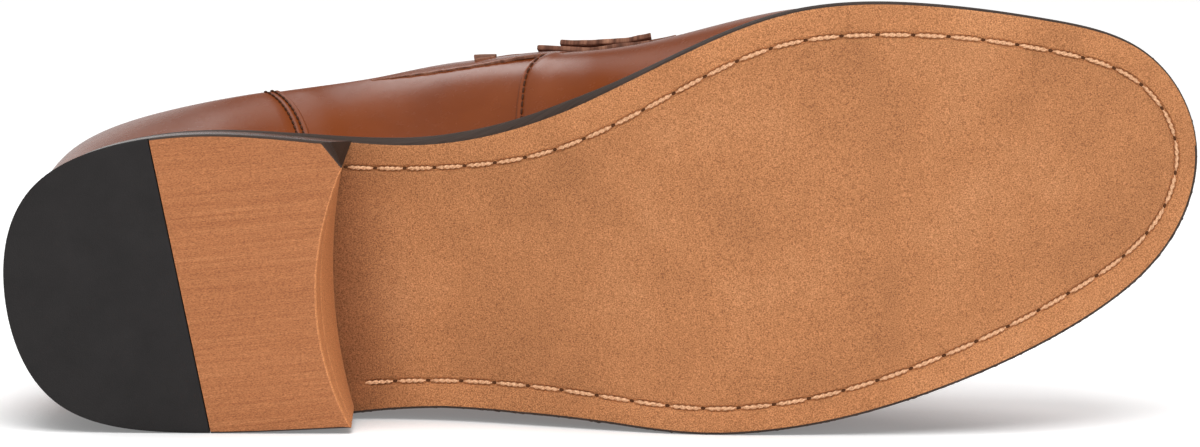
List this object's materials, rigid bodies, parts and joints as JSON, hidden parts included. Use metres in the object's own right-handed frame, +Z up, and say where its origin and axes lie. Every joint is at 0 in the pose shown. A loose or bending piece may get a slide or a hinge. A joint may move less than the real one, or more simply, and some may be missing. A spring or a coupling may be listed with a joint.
{
  "type": "strap loafer",
  "caption": "Left strap loafer with a hollow leather upper, welted leather sole, stacked heel with rubber and leather walking layer, and a double strap, lying on its outer side.",
  "frame": {"origin": "floor under the middle of the lying shoe's box", "axes": "+X from heel to toe along the floor, +Y from the sole towards the instep, +Z up, which is the medial side of the shoe"},
  "size_m": [0.299, 0.0912, 0.1092],
  "materials": {
    "sole_leather": "buffed matte tan sole leather",
    "edge_leather": "dark dyed and waxed edge",
    "heel_rubber": "matte black rubber",
    "heel_leather": "sanded tan leather",
    "lining_leather": "smooth matte lining leather",
    "upper_leather": "polished cognac brown leather"
  },
  "bodies": {
    "root": {"outsole": "sole_leather", "welt": "edge_leather", "heel_stack": "edge_leather", "toplift_rubber": "heel_rubber", "toplift_leather": "heel_leather", "insole": "lining_leather", "upper": "upper_leather", "tongue": "upper_leather", "strap_base": "upper_leather", "strap_top": "upper_leather"}
  },
  "joints": []
}
